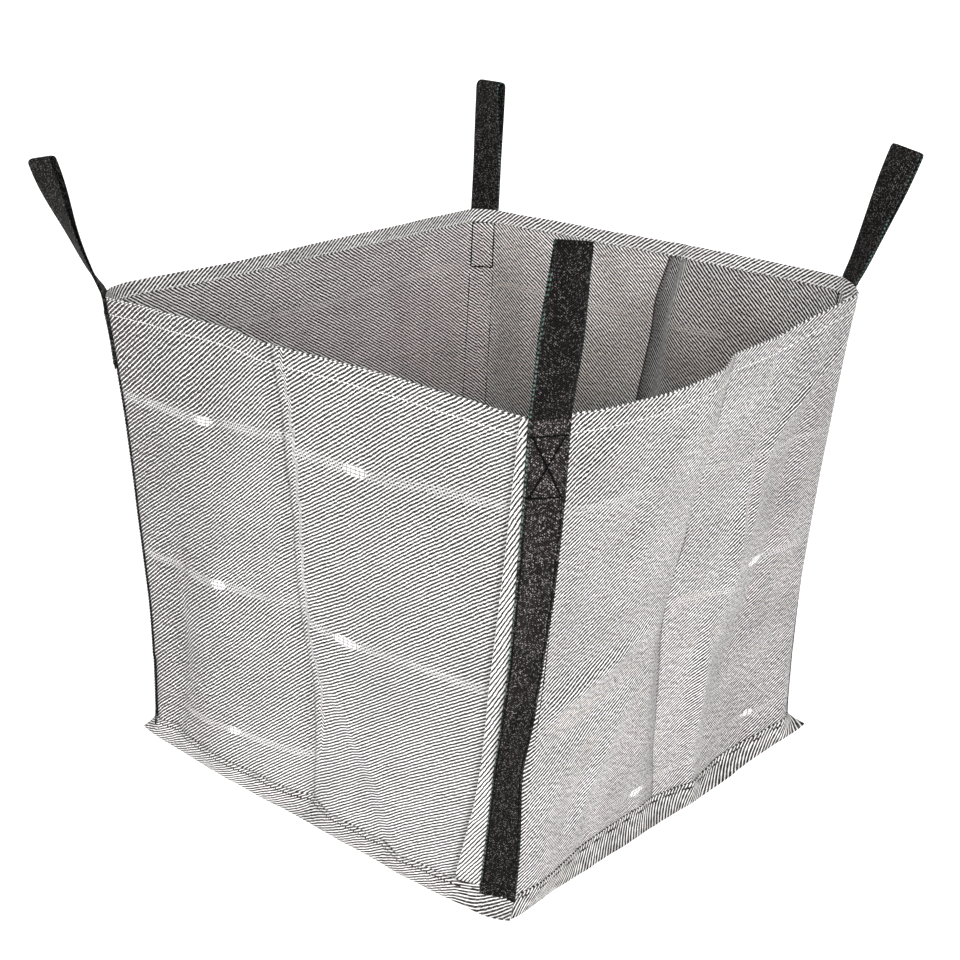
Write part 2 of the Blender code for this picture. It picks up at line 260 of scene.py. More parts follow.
def back_shape(q, t):
    """The back bows outward to one crisp crease; its flank towards the right corner is steep."""
    crease = curve(t, BACK_CREASE)
    steep = curve(t, [(0, 0.3), (0.3, 0.7), (0.6, 1), (0.93, 1), (1, 0.45)])
    left = np.interp((q - crease) / (1 - crease), [0, 0.35, 0.75, 0.9, 1],
                     [0.034, 0.028, 0.018, 0.007, 0])
    right = np.interp((crease - q) / crease, [0, 0.20, 0.60, 0.85, 1],
                      [0.030, 0.028, 0.022, 0.012, 0])
    flank = 0.022 * steep * (1 - np.exp(-np.clip(crease - q, 0, 1) / 0.022)) \
        * curve(q, [(0, 0), (0.2, 0.3), (0.42, 1), (1, 1)])
    out = np.where(q >= crease, left + 0.004 * steep, right + 0.004 * steep * (q / crease) - flank)
    out = out * curve(t, [(0, 0.12), (0.5, 0.6), (1, 1)])
    out += fold(q, t, [(0, 0.2), (1, 0.28)], [(0, 0.004), (0.6, -0.006), (1, -0.002)], 0.10)
    out += fold(q, t, [(0, 0.80), (1, 0.78)], [(0, 0.002), (0.6, -0.005), (1, -0.003)], 0.07)
    return out


def left_shape(q, t):
    """The left wall has one soft fold down its middle."""
    out = np.sin(np.pi * q) * curve(t, [(0, 0.006), (0.4, 0.010), (0.75, -0.002), (1, -0.010)])
    out += fold(q, t, [(0, 0.47), (0.5, 0.50), (1, 0.52)],
                [(0, -0.016), (0.3, -0.010), (0.7, 0.003), (1, 0.005)], 0.07, 0.5)
    out += fold(q, t, [(0, 0.25), (0.5, 0.3), (1, 0.24)],
                [(0, 0.006), (0.5, -0.006), (1, 0.004)], 0.09)
    out += fold(q, t, [(0, 0.8), (0.5, 0.7), (1, 0.75)],
                [(0, 0.005), (0.5, 0.007), (1, -0.003)], 0.09)
    return out


SHAPES = {"front": front_shape, "right": right_shape, "back": back_shape, "left": left_shape}


def build_surface():
    """The cloth's middle surface as a grid: rows upward, columns anticlockwise in a ring.

    Side s starts at the middle of corner s's strap and ends at the middle of the next one.
    """
    t = np.linspace(0.0, 1.0, ROWS)
    tt = t[:, None]
    pieces = []
    for side in SIDES:
        start, end = ends(side)
        _, left_a, right_a = post(start, t)
        edge_b, left_b, right_b = post(end, t)
        middle_a, middle_b = (left_a + right_a) / 2, (left_b + right_b) / 2
        # half a strap, the wall, the bare strip, and half of the next strap
        for a, b, count in (
            (middle_a, right_a, HALF_STRAP_COLUMNS), (right_a, edge_b, WALL_COLUMNS),
            (edge_b, left_b, STRIP_COLUMNS), (left_b, middle_b, HALF_STRAP_COLUMNS),
        ):
            q = (np.arange(count) / count)[None, :, None]
            pieces.append(a[:, None, :] * (1 - q) + b[:, None, :] * q)
    plan = smooth_ring(np.concatenate(pieces, axis=1), 1.5)
    plan[: ROWS // 6] = smooth_ring(plan, 2.2)[: ROWS // 6]
    tangent = unit(np.roll(plan, -1, axis=1) - np.roll(plan, 1, axis=1))
    outward = np.stack([tangent[..., 1], -tangent[..., 0]], -1)
    offset = np.zeros(plan.shape[:2])
    height = np.zeros(plan.shape[:2])
    q = (np.arange(WALL_COLUMNS) / WALL_COLUMNS)[None, :]
    fade = np.clip(np.minimum(q, 1 - q) / 0.05, 0, 1)
    whole = (np.arange(PER_SIDE) / PER_SIDE)[None, :]
    for number, side in enumerate(SIDES):
        start, end = ends(side)
        first = number * PER_SIDE
        wall = slice(first + HALF_STRAP_COLUMNS, first + HALF_STRAP_COLUMNS + WALL_COLUMNS)
        offset[:, wall] += SHAPES[side](q, tt) * (fade * fade * (3 - 2 * fade))
        rim = RIM_Z[start] * (1 - whole) + RIM_Z[end] * whole
        height[:, first:first + PER_SIDE] = SEAM_Z + (rim - SEAM_Z) * tt
    # where the cloth bows outward its rim sinks
    sag = np.clip(offset[-1], 0, None) * 0.16
    height -= sag[None, :] * tt
    points = np.concatenate([plan + outward * offset[..., None], height[..., None]], -1)
    # slack cloth: broad swells, then small wrinkles that gather above the base seam
    side_share = np.concatenate([np.arange(PER_SIDE) / PER_SIDE] * 4)
    quiet = np.clip(np.minimum(side_share - 0.04, 0.90 - side_share) / 0.08, 0, 1)[None, :]
    swell = noise_field(points, 6.5, 3) * 0.0050 + noise_field(points, 14.0, 5) * 0.0024
    stretched = points * np.array([1.0, 1.0, 0.35])
    swell += noise_field(stretched, 22.0, 8) * 0.0022 * np.exp(-tt * 5.0)
    swell += noise_field(stretched, 42.0, 9) * 0.0012 * np.exp(-tt * 9.0)
    swell += noise_field(points, 38.0, 11) * 0.0005
    swell *= 0.2 + 0.8 * quiet
    points[..., :2] += outward * swell[..., None]
    return points


def grid_normals(points):
    """Outward unit normals of the ring grid."""
    along = np.roll(points, -1, axis=1) - np.roll(points, 1, axis=1)
    return unit(np.cross(along, np.gradient(points, axis=0)))


surface = build_surface()
normals = grid_normals(surface)

# cloth coordinates: metres along the rim and metres up the cloth
rim_steps = np.linalg.norm(np.roll(surface[-1], -1, axis=0) - surface[-1], axis=-1)
# the right wall's far part is pulled taut, and its hatch lies flatter
TAUT_FROM, TAUT_SCALE = 0.60, 0.62
rim_steps[int(PER_SIDE * (1 + TAUT_FROM)):2 * PER_SIDE] *= TAUT_SCALE
rim_u = np.concatenate([[0.0], np.cumsum(rim_steps)])
row_v = run_length(surface[:, COLUMNS // 8])
cloth_height = row_v[-1]


def at_height(values, v):
    """Interpolates a row grid at cloth heights v (metres up the cloth); rows by columns out."""
    v = np.clip(np.asarray(v, float), 0.0, cloth_height)
    place = np.interp(v, row_v, np.arange(ROWS))
    low = np.clip(place.astype(int), 0, ROWS - 2)
    share = (place - low)[:, None, None]
    return values[low] * (1 - share) + values[low + 1] * share


def take(values, wanted):
    """Columns of a ring grid at fractional column numbers."""
    wanted = np.asarray(wanted, float)
    low = np.floor(wanted).astype(int)
    share = (wanted - low)[None, :, None]
    return values[:, low % COLUMNS] * (1 - share) + values[:, (low + 1) % COLUMNS] * share


def on_ring(v, cols):
    """Points and outward normals of the cloth, rows at heights v by columns."""
    return take(at_height(surface, v), cols), take(at_height(normals, v), cols)


def level_frame(v, cols):
    """Points and level outward normals of the cloth along one height."""
    points, facing = on_ring([v], cols)
    facing[..., 2] = 0
    return points[0], unit(facing[0])


def along_rim(cols):
    """Cloth coordinate along the rim at these columns, on past the ring's start."""
    return np.interp(np.mod(cols, COLUMNS), np.arange(COLUMNS + 1), rim_u) \
        + (cols >= COLUMNS) * rim_u[-1]


# ---------------------------------------------------------------- meshes
def link(mesh, name, material):
    obj = bpy.data.objects.new(name, mesh)
    bpy.context.scene.collection.objects.link(obj)
    mesh.materials.append(material)
    return obj


def mesh_from(name, vertices, faces, material, weave=None):
    """A smooth mesh; weave holds each point's cloth coordinates and its face, 1 or -1."""
    mesh = bpy.data.meshes.new(name)
    mesh.from_pydata(np.asarray(vertices).reshape(-1, 3).tolist(), [], faces)
    if weave is not None:
        attribute = mesh.attributes.new("weave", "FLOAT_VECTOR", "POINT")
        attribute.data.foreach_set("vector", np.asarray(weave, np.float32).ravel())
    mesh.validate()
    mesh.update()
    mesh.shade_smooth()
    mesh.set_sharp_from_angle(angle=math.radians(60.0))
    return link(mesh, name, material)


def on_bag(obj, slot, *nodes):
    """The piece moves with the bag and stands for these nodes."""
    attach(obj, "bag")
    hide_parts(*nodes)
    return obj


def sheet_faces(rows, cols):
    """Quads of a closed sheet: outer grid, inner grid reversed, and the edge all round."""
    index = np.arange(rows * cols).reshape(rows, cols)
    a, b = index[:-1, :-1], index[:-1, 1:]
    c, d = index[1:, 1:], index[1:, :-1]
    outer = np.stack([a, b, c, d], -1).reshape(-1, 4)
    inner = np.stack([d, c, b, a], -1).reshape(-1, 4) + rows * cols
    loop = np.concatenate([index[0, :-1], index[:-1, -1], index[-1, :0:-1], index[:0:-1, 0]])
    after = np.roll(loop, -1)
    edge = np.stack([loop + rows * cols, after + rows * cols, after, loop], -1)
    return np.concatenate([outer, inner, edge]).tolist()


def make_sheet(name, middle, normal, thickness, uv, material):
    """A closed thin sheet round a middle surface; uv is (rows, cols, 2)."""
    rows, cols = middle.shape[:2]
    half = normal * thickness / 2
    weave = np.zeros((2, rows, cols, 3))
    weave[..., :2] = uv
    weave[0, ..., 2], weave[1, ..., 2] = 1.0, -1.0
    return mesh_from(name, np.stack([middle + half, middle - half]), sheet_faces(rows, cols),
                     material, weave)


# A stitch: along it (share of its length, scale, lift), and round it (shares of width, height).
STITCH_STATIONS = ((-0.5, 0.25, -0.35), (-0.38, 0.85, 0.0), (0.0, 1.0, 0.12),
                   (0.38, 0.85, 0.0), (0.5, 0.25, -0.35))
STITCH_SECTION = ((-0.5, 0.0), (-0.36, 0.62), (0.0, 1.0), (0.36, 0.62), (0.5, 0.0), (0.0, -0.35))


def make_stitches(name, centre, along, normal, size, material):
    """Short raised threads of size (length, width, height) at each centre."""
    length, width, height = size
    across = unit(np.cross(normal, along))
    rings = []
    for place, scale, drop in STITCH_STATIONS:
        base = centre + along * length * place + normal * height * drop
        rings.append(np.stack([base + across * (x * width * scale) + normal * (y * height * scale)
                               for x, y in STITCH_SECTION], 1))
    points = np.stack(rings, 1)
    count, levels, sides = points.shape[:3]
    index = np.arange(levels * sides).reshape(levels, sides)
    after = np.roll(index, -1, axis=1)
    walls_of_one = np.stack([index[:-1], after[:-1], after[1:], index[1:]], -1).reshape(-1, 4)
    caps = np.stack([index[0, ::-1], index[-1]])
    faces = []
    for shift in range(0, count * levels * sides, levels * sides):
        faces += (walls_of_one + shift).tolist() + (caps + shift).tolist()
    return mesh_from(name, points, faces, material)


# ---------------------------------------------------------------- materials
class Value:
    """A number on a surface; arithmetic on it adds Math nodes."""

    def __init__(self, nodes, socket):
        self.nodes, self.socket = nodes, socket

    def __add__(self, other):
        return self.nodes.math("ADD", self, other)

    def __sub__(self, other):
        return self.nodes.math("SUBTRACT", self, other)

    def __rsub__(self, other):
        return self.nodes.math("SUBTRACT", other, self)

    def __mul__(self, other):
        return self.nodes.math("MULTIPLY", self, other)

    def __truediv__(self, other):
        return self.nodes.math("DIVIDE", self, other)

    def __abs__(self):
        return self.nodes.math("ABSOLUTE", self)


class Nodes:
    """Short names for building a node tree."""

    def __init__(self, name):
        self.material = bpy.data.materials.new(name)
        self.material.use_nodes = True
        self.tree = self.material.node_tree
        self.shader = self.tree.nodes["Principled BSDF"]

    def node(self, kind, inputs=(), **values):
        """A node with its attributes set, and its inputs linked or set in order or by name."""
        made = self.tree.nodes.new(kind)
        for key, value in values.items():
            setattr(made, key, value)
        pairs = inputs.items() if isinstance(inputs, dict) else enumerate(inputs)
        for key, value in pairs:
            self.put(made.inputs[key], value)
        return made

    def put(self, socket, value):
        value = value.socket if isinstance(value, Value) else value
        if isinstance(value, bpy.types.NodeSocket):
            self.tree.links.new(value, socket)
        else:
            socket.default_value = value

    def math(self, operation, *values):
        return Value(self, self.node("ShaderNodeMath", values, operation=operation).outputs[0])

    def floor(self, value):
        return self.math("FLOOR", value)

    def most(self, a, b):
        """The larger of two, where the first may still be missing."""
        return b if a is None else self.math("MAXIMUM", a, b)

    def triangle(self, value):
        """1 in the middle of each unit period, 0 at its ends."""
        return 1.0 - abs(self.math("FRACT", value) * 2.0 - 1.0)

    def ramp(self, value, low, high, start=0.0, end=1.0):
        made = self.node("ShaderNodeMapRange", (value, low, high, start, end),
                         interpolation_type="SMOOTHSTEP")
        return Value(self, made.outputs[0])

    def mix(self, share, a, b, blend="MIX"):
        made = self.node("ShaderNodeMix", {0: share, 6: a, 7: b}, data_type="RGBA",
                         blend_type=blend)
        return made.outputs[2]

    def noise(self, vector, scale, detail=2.0, rough=0.5):
        inputs = {"Vector": vector, "Scale": scale, "Detail": detail, "Roughness": rough}
        return Value(self, self.node("ShaderNodeTexNoise", inputs).outputs["Fac"])

    def white(self, x, y):
        made = self.node("ShaderNodeTexWhiteNoise", {"Vector": self.join(x, y, 0.0)},
                         noise_dimensions="2D")
        return Value(self, made.outputs["Value"])

    def join(self, *values):
        return self.node("ShaderNodeCombineXYZ", values).outputs[0]

    def weave(self):
        """Cloth coordinates as a vector, and as u, v and the face, 1 or -1."""
        vector = self.node("ShaderNodeAttribute", attribute_name="weave").outputs["Vector"]
        split = self.node("ShaderNodeSeparateXYZ", (vector,))
        return (vector, *(Value(self, socket) for socket in split.outputs))

    def bump(self, height, strength, distance):
        made = self.node("ShaderNodeBump",
                         {"Strength": strength, "Distance": distance, "Height": height})
        self.put(self.shader.inputs["Normal"], made.outputs[0])

    def surface(self, **values):
        for key, value in values.items():
            self.put(self.shader.inputs[key.replace("_", " ")], value)


# the cloth's tapes along and across, the open bands' courses and bricks, the bright patches' bars
TAPE, PICK = 0.0033, 0.0030
COURSE, BRICK = 0.0042, 0.0052
BAR_U, BAR_V = 0.0092, 0.0054
HATCH_EDGE = 0.035        # half the softness of a hatch line's edge, as a share of its period


def cloth_material(name, angle=30.0, rise=0.0060, duty=0.40, light=(0.90, 0.88, 0.875, 1),
                   bands=(), spots=(), shades=(), duties=(), ticks=None):
    """Woven polypropylene tape: a broken diagonal hatch, bright patches, and bands of opener weave.

    The hatch runs at an angle, repeats at each rise, and duty is its light share; its near-black
    is painted shadow in the gaps between the tapes' floats. The bright patches are partly stress
    whitening and partly painted highlight where the crumpled cloth catches the light.
    """
    n = Nodes(name)
    vector, u, v, layer = n.weave()
    wavy = v + (n.noise(vector, 26.0) - 0.5) * 0.0045
    cos, sin = math.cos(math.radians(angle)), math.sin(math.radians(angle))
    phase = (wavy * cos - u * sin) / (rise * cos)
    tape = u / TAPE
    # each tape steps the hatch a little, which breaks its lines into dashes
    line = n.triangle(phase + (n.white(n.floor(tape), n.floor(phase)) - 0.5) * 0.16)
    # more or less of each period is light along the side, thinning or deepening its painted shadow
    for u0, u1, change in duties:
        line = line - n.ramp(u, u0, u1, 0.0, change)
    line = n.ramp(line, duty - HATCH_EDGE, duty + HATCH_EDGE)
    gap = n.ramp(n.triangle(tape), 0.0, 0.30, 0.90, 1.0)
    uneven = n.ramp(n.noise(vector, 240.0, 1.0), 0.30, 0.58, 0.90, 1.0)
    line = line * gap * uneven
    # opener bands across the cloth
    opened = None
    for height, start, end, strength, half in bands:
        inside = n.ramp(abs(v - height), half * 0.5, half * 1.2, strength, 0.0)
        inside = inside * n.ramp(u, start - 0.02, start + 0.03)
        opened = n.most(opened, inside * n.ramp(u, end - 0.03, end + 0.02, 1.0, 0.0))
    if opened is not None:
        course = v / COURSE
        brick = (u + n.math("MODULO", n.floor(course), 2.0) * (BRICK / 2)) / BRICK
        checker = n.ramp(n.triangle(brick), 0.16, 0.40) * n.ramp(n.triangle(course), 0.10, 0.35)
        opened = opened * n.ramp(n.noise(vector, 16.0, 1.0), 0.32, 0.55, 0.25, 1.0)
        line = line * (1.0 - opened) + checker * opened
    # bright patches, partly stress whitening and partly painted highlight, crossed by a few dark
    # bars
    whitening_and_highlight = None
    for u0, v0, wide, tall in spots:
        x, y = (u - u0) / wide, (v - v0) / tall
        whitening_and_highlight = n.most(whitening_and_highlight, n.ramp(n.math("POWER", x * x + y * y, 0.5), 0.75, 1.15, 1.0, 0.0))
    if whitening_and_highlight is not None:
        bars = n.most(n.ramp(n.triangle(u / BAR_U), 0.72, 0.92),
                      n.ramp(n.triangle(v / BAR_V), 0.62, 0.86))
        line = line * (1.0 - whitening_and_highlight) + bars * whitening_and_highlight * 0.85
    if ticks:
        height, spacing = ticks
        line = n.most(line, n.ramp(abs(v - height), 0.0012, 0.0020, 1.0, 0.0)
                      * n.ramp(n.triangle(u / spacing), 0.35, 0.55))
    # cloth tone: cloudy patches, and streaks that follow the tapes both ways
    cloud = n.ramp(n.noise(vector, 9.0, 3.0, 0.6), 0.30, 0.70, -0.10, 0.10)
    warp = (n.noise(n.join(u, v * 0.05, layer), 95.0) - 0.5) * 0.30
    weft = (n.noise(n.join(u * 0.04, v, layer), 150.0) - 0.5) * 0.20
    tone = (cloud + 1.0) + (warp + weft)
    # the bright patches, stress whitening and painted highlight, also lift the tone
    if whitening_and_highlight is not None:
        tone = tone + whitening_and_highlight * 0.08
    for knots, before, after, strength, face in shades:
        # shade gathered along a standing crease, on one face of the cloth
        path = knots[0][1]
        for (v0, u0), (v1, u1) in zip(knots, knots[1:]):
            path = n.ramp(v, v0, v1, 0.0, u1 - u0) + path
        off = u - path
        near = n.ramp(off, -before, 0.0) * n.ramp(off, 0.0, after, 1.0, 0.0)
        tone = tone * (1.0 - near * strength * n.ramp(layer * face, -0.1, 0.1))
    pale = n.mix(1.0, light, n.join(tone, tone, tone), "MULTIPLY")
    # the hatch's near-black is painted shadow in the gaps between the tapes' floats
    n.surface(Base_Color=n.mix(line, pale, (0.011, 0.0042, 0.0046, 1)),
              Roughness=n.ramp(line, 0.0, 1.0, 0.50, 0.85),
              Specular_IOR_Level=0.22, Sheen_Weight=0.05, Sheen_Roughness=0.45)
    threads = n.triangle(tape) + n.triangle(wavy / PICK)
    n.bump((1.0 - line) * 0.8 + threads * 0.12, 0.35, 0.0006)
    return n.material


# the webbing's ribs along and across, its grains of lint, and the dots of its edge
RIB_V, RIB_U = 0.0034, 0.0026
GRAIN_U, GRAIN_V = 0.0012, 0.0014
DOT = 0.0066


def webbing_material(name, lift=1.0, foot=1.0):
    """Black polypropylene webbing: fine twill ribs with a painted highlight on their tops, grainy
    pale lint, and a dotted edge.

    lift brightens it, and foot is what is left of its tone at the bottom of a strap.
    """
    n = Nodes(name)
    vector, u, v, _ = n.weave()
    side = abs(u)
    rib = n.triangle((side * 0.9 + v) / RIB_V)
    rib = n.ramp(rib * (n.triangle(u / RIB_U) + 0.55), 0.25, 0.95)
    grain = n.white(n.floor(u / GRAIN_U), n.floor(v / GRAIN_V))
    patch = n.ramp(n.noise(vector, 30.0, 4.0, 0.7), 0.30, 0.70, 0.35, 1.0)
    # pale lint, brighter where it lies on the ribs' painted highlight
    fleck = n.ramp(grain, 0.78, 0.98) * patch * (rib + 0.45)
    dots = n.ramp(side, WEB_HALF - 0.0028, WEB_HALF - 0.0014) \
        * n.ramp(n.triangle(v / DOT), 0.45, 0.65) * n.ramp(u, -0.001, 0.001, 1.0, 0.2) \
        * n.ramp(n.noise(vector, 26.0, 1.0), 0.35, 0.6)
    tone = n.ramp(n.noise(vector, 22.0, 3.0), 0.30, 0.72, 0.75, 1.25) * lift
    if foot < 1.0:
        dim = n.ramp(v, 0.12, 0.50, foot, 1.0)
        tone, fleck = tone * dim, fleck * dim
    # ground is the webbing's near-black; raised is the painted highlight on the ribs' tops
    ground, raised = (n.mix(1.0, colour, n.join(tone, tone, tone), "MULTIPLY")
                      for colour in ((0.0032, 0.0027, 0.0027, 1), (0.042, 0.036, 0.035, 1)))
    colour = n.mix(rib * n.ramp(grain, 0.1, 0.9, 0.35, 1.0), ground, raised)
    colour = n.mix(n.ramp(side, WEB_HALF - 0.0062, WEB_HALF - 0.0050) * 0.7, colour,
                   (0.006, 0.0055, 0.0055, 1))
    colour = n.mix(dots * 0.75, colour, (0.13, 0.22, 0.19, 1))
    colour = n.mix(fleck * (0.42 * lift), colour, (0.80, 0.74, 0.73, 1))
    n.surface(Base_Color=colour, Roughness=n.ramp(rib, 0.0, 1.0, 0.85, 0.6),
              Specular_IOR_Level=0.05)
    n.bump(rib + fleck * 0.5, 0.5, 0.0007)
    return n.material


def thread_material(name, colour, shade):
    """Twisted thread between its colour and the shade in its grooves."""
    n = Nodes(name)
    vector = n.node("ShaderNodeTexCoord").outputs["Object"]
    twist = n.noise(vector, 900.0, 1.0)
    share = twist * 0.6 + n.noise(vector, 40.0) * 0.5
    n.surface(Base_Color=n.mix(n.ramp(share, 0.35, 0.75), shade, colour),
              Roughness=n.ramp(twist, 0.3, 0.7, 0.55, 0.8), Specular_IOR_Level=0.06)
    n.bump(twist, 0.4, 0.0003)
    return n.material


# bands of opener weave: height, first and last share of the side, strength, half height
BANDS = {
    "front": [(0.600, 0.03, 0.95, 0.48, 0.0085), (0.329, 0.04, 0.96, 0.44, 0.0078),
              (0.080, 0.14, 0.56, 0.44, 0.0070)],
    "right": [(0.600, 0.04, 0.97, 0.34, 0.0075), (0.377, 0.36, 0.90, 0.46, 0.0072),
              (0.050, 0.28, 0.85, 0.45, 0.0065)],
    "back": [(0.600, 0.30, 0.95, 0.40, 0.0070), (0.302, 0.05, 0.80, 0.45, 0.0070)],
    "left": [(0.636, 0.04, 0.90, 0.25, 0.0070), (0.357, 0.10, 0.95, 0.50, 0.0070)],
}
# bright patches, partly stress whitening and partly painted highlight: share of the side, height,
# half width and half height
SPOTS = {
    "front": [(0.257, 0.600, 0.019, 0.0080), (0.645, 0.600, 0.024, 0.0085),
              (0.285, 0.329, 0.018, 0.0078), (0.632, 0.328, 0.028, 0.0090),
              (0.319, 0.080, 0.015, 0.0070)],
    "right": [(0.66, 0.377, 0.018, 0.0075), (0.389, 0.050, 0.018, 0.0078),
              (0.757, 0.054, 0.012, 0.0062)],
    "back": [(0.25, 0.303, 0.018, 0.0070)],
    "left": [(0.70, 0.357, 0.018, 0.0070)],
}
SIDE_STARTS = [rim_u[k * PER_SIDE] for k in range(5)]   # along the rim
STRIP_EDGE = float(rim_u[HALF_STRAP_COLUMNS + WALL_COLUMNS])


def along_side(side, share):
    """Cloth coordinate at a share of a side's length."""
    number = SIDES.index(side)
    start, end = SIDE_STARTS[number], SIDE_STARTS[number + 1]
    if side == "right":
        share = min(share, TAUT_FROM) + TAUT_SCALE * max(share - TAUT_FROM, 0.0)
        share /= TAUT_FROM + TAUT_SCALE * (1 - TAUT_FROM)
    return float(start + share * (end - start))


def side_bands(side):
    """A side's bands in cloth coordinates."""
    return [(v, along_side(side, start), along_side(side, end), strength, half)
            for v, start, end, strength, half in BANDS[side]]


def side_spots(side):
    """A side's bright patches in cloth coordinates."""
    return [(along_side(side, q), v, wide, tall) for q, v, wide, tall in SPOTS[side]]


def crease_shade(side, knots, before, after, strength, face):
    """Shade along a crease given by its (share of height, share of side) knots."""
    path = tuple((t * cloth_height, along_side(side, q)) for t, q in knots)
    return path, before, after, strength, face


# shades: path, metres reached before and after it, strength, and the face that shows it
SHADES = {
    "right": [crease_shade("right", RIGHT_CREASE, 0.0060, 0.0030, 0.42, 1),
              crease_shade("right", RIGHT_CREASE, 0.0600, 0.0010, 0.24, 1)],
    "back": [crease_shade("back", BACK_CREASE, 0.0028, 0.0030, 0.90, -1),
             crease_shade("back", BACK_CREASE, 0.034, 0.001, 0.62, -1),
             crease_shade("back", BACK_CREASE, 0.400, 0.001, 0.30, -1)],
    "front": [crease_shade("front", FRONT_CREASE, 0.005, 0.009, 0.42, 1),
              crease_shade("front", FRONT_CREASE, 0.040, 0.001, 0.14, 1),
              (((0.0, STRIP_EDGE), (cloth_height, STRIP_EDGE)), 0.0140, 0.0008, 0.50, 1)],
}
# changes of the light share between two places along a side, which thin or deepen the hatch's
# painted shadow: the front wall grows paler towards the near corner and its bare strip is painted
# paler where it turns to the light; the right wall is darker past its crease, and the back darker
# towards its right corner
DUTIES = {
    "front": [(along_side("front", 0.0), along_side("front", 0.62), 0.15),
              (STRIP_EDGE - 0.001, STRIP_EDGE + 0.002, 0.10)],
    "right": [(along_side("right", 0.50), along_side("right", 0.75), -0.05)],
    "back": [(along_side("back", 0.1), along_side("back", 0.6), 0.05)],
}
# angle of the weave's diagonal, its rise, and the light share of each period; the light share is
# set wall by wall, so that the hatch's painted shadow is heaviest on the front wall, where light
# rakes it
HATCH = {"front": (33.0, 0.0060, 0.225), "right": (37.0, 0.0064, 0.335),
         "back": (38.0, 0.0062, 0.32), "left": (33.0, 0.0056, 0.35)}
SEAM_HATCH = {"front": (24.0, 0.0044), "right": (58.0, 0.0118),
              "back": (40.0, 0.0060), "left": (50.0, 0.0070)}
cloth = {side: cloth_material("woven_fabric_" + side, *HATCH[side], bands=side_bands(side),
                              spots=side_spots(side), shades=SHADES.get(side, ()),
                              duties=DUTIES.get(side, ())) for side in SIDES}
hem_cloth = cloth_material("woven_fabric_hem", 38.0, 0.0068)
base_cloth = cloth_material("woven_fabric_base", duty=0.50)
seam_cloth = {side: cloth_material("seam_allowance_fabric_" + side, *SEAM_HATCH[side], 0.35,
                                   (0.84, 0.825, 0.81, 1), ticks=(0.0262, 0.0062))
              for side in SIDES}
web = webbing_material("webbing_strap", foot=0.45)
sewn_web = webbing_material("webbing_sewn_end", lift=1.25)
loop_web = webbing_material("webbing_loop", lift=0.45)
white_thread = thread_material("white_thread", (0.80, 0.79, 0.78, 1), (0.50, 0.49, 0.48, 1))
black_thread = thread_material("black_thread", (0.0012, 0.0012, 0.0012, 1),
                               (0.0005, 0.0005, 0.0005, 1))


# ---------------------------------------------------------------- walls and hems
def ring_columns(side):
    """All of a side's columns, both ends included."""
    first = SIDES.index(side) * PER_SIDE
    return np.arange(first, first + PER_SIDE + 1)


# Where each wall's crosswise threads step, (share of the height, share of the side) knots.
CREASES = {
    "front": FRONT_CREASE,
    "right": ((0, 0.59), (1, 0.59)),
    "back": BACK_CREASE,
    "left": ((0, 0.5), (1, 0.5)),
}
# How far the cloth's crosswise threads stray from level, at rising heights: knots before the
# crease and after it, each by the share of that part. Cloth is taken in at the creases, so the
# threads step there, and the right side is cut off grain.
DRIFT = {
    "front": (
        (0.08, ((0, -0.030), (0.6, -0.007), (1, 0.010)), ((0, 0.010), (1, 0.020))),
        (0.33, ((0, -0.010), (0.51, -0.004), (1, 0.027)),
         ((0, 0.002), (0.2, -0.006), (0.5, 0.006), (1, 0.014))),
        (0.60, ((0, -0.017), (0.52, -0.017), (1, 0.010)),
         ((0, -0.010), (0.32, -0.006), (0.86, 0.017), (1, 0.018))),
        (0.73, ((0, -0.006), (1, 0.005)), ((0, -0.006), (1, 0.006))),
    ),
    "right": (
        (0.05, ((0, 0.018), (0.66, -0.005), (1, 0.002)), ((0, 0.006), (0.4, 0.012), (1, -0.010))),
        (0.37, ((0, 0.046), (0.64, 0.0), (1, -0.034)), ((0, 0.001), (0.6, -0.028), (1, -0.045))),
        (0.60, ((0, 0.006), (0.34, 0.0), (0.75, -0.039), (1, -0.055)), ((0, -0.055), (1, -0.105))),
    ),
    "back": (
        (0.30, ((0, -0.010), (0.88, 0.0), (1, 0.018)), ((0, -0.004), (1, 0.010))),
        (0.60, ((0, 0.010), (0.88, 0.0), (1, 0.022)), ((0, -0.006), (1, 0.004))),
    ),
    "left": (
        (0.30, ((0, 0.0), (1, 0.012)), ((0, 0.012), (1, -0.006))),
        (0.60, ((0, 0.004), (1, -0.008)), ((0, -0.008), (1, 0.008))),
    ),
}
STRIP_TURN = -30.0        # the bare strip before the near corner's strap is on the skew, degrees
STRIP_CLEAR = 2.0         # metres that keep the walls' bands out of the strip's weave
STRIP_PAST = 0.08         # columns past the strip's edge at which its weave has turned


def drift(side, cols, v):
    """Weft drift in metres, rows by columns."""
    share = (np.asarray(cols, float) - SIDES.index(side) * PER_SIDE)[None, :] / PER_SIDE
    v = np.asarray(v, float)
    crease = curve(v / cloth_height, CREASES[side])[:, None]
    before = share < crease
    place = np.where(before, share / crease, (share - crease) / (1 - crease))
    levels = DRIFT[side]
    table = np.stack([
        np.where(before, np.interp(place, *zip(*first)), np.interp(place, *zip(*second)))
        for _, first, second in levels])
    row = np.interp(v, [level for level, _, _ in levels], np.arange(len(levels)))
    low = np.clip(row.astype(int), 0, len(levels) - 2)
    part = (row - low)[:, None]
    index = np.arange(len(v))
    return table[low, index] * (1 - part) + table[low + 1, index] * part


